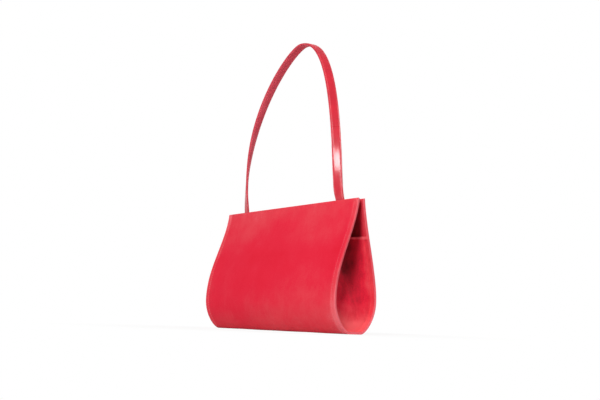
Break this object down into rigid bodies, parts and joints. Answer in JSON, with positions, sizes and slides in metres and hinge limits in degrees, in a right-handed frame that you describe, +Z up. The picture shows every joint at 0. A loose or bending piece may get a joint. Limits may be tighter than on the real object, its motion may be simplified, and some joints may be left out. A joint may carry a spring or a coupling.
{
  "type": "handbag",
  "caption": "Small stiff suede handbag, teardrop in section, with recessed end gussets, a narrow open mouth with a magnetic snap and one tall twisted shoulder strap.",
  "frame": {"origin": "under the middle of the bag, on the plane that it stands on", "axes": "+X along the bag to its right as seen from the front, -Y to the front, +Z up; the strap stands at its full height"},
  "size_m": [0.27, 0.0624, 0.3665],
  "materials": {
    "suede": "red suede with a soft nap",
    "gusset_suede": "red suede, end gussets and their bindings",
    "strap_leather": "smooth red leather with a gloss",
    "strap_backing": "matte red leather, flesh side",
    "lining": "plain woven lining, dark red",
    "board": "stiff fibre board",
    "snap_metal": "pale plated snap"
  },
  "bodies": {
    "bag": {"back_and_base": "suede", "back_board": "board", "back_lining": "lining", "back_facing": "suede", "inner_pocket": "lining", "left_gusset": "gusset_suede", "right_gusset": "gusset_suede", "left_gusset_binding": "gusset_suede", "right_gusset_binding": "gusset_suede", "left_strap_end": "strap_leather", "right_strap_end": "strap_leather", "snap_socket": "snap_metal", "back_snap_washer": "snap_metal"},
    "front": {"front_panel": "suede", "front_board": "board", "front_lining": "lining", "front_facing": "suede", "snap_stud": "snap_metal", "front_snap_washer": "snap_metal"},
    "strap": {"strap_outer": "strap_leather", "strap_core": "strap_backing", "strap_inner": "strap_backing"}
  },
  "joints": [
    {"name": "mouth_open", "type": "hinge", "parent": "bag", "child": "front", "pos_m": [0, -0.02837, 0.022], "axis": [1, 0, 0], "range_deg": [0, 10]},
    {"name": "strap_swing", "type": "hinge", "parent": "bag", "child": "strap", "pos_m": [0, 0.00515, 0.165], "axis": [1, 0, 0], "range_deg": [-90, 90]}
  ]
}
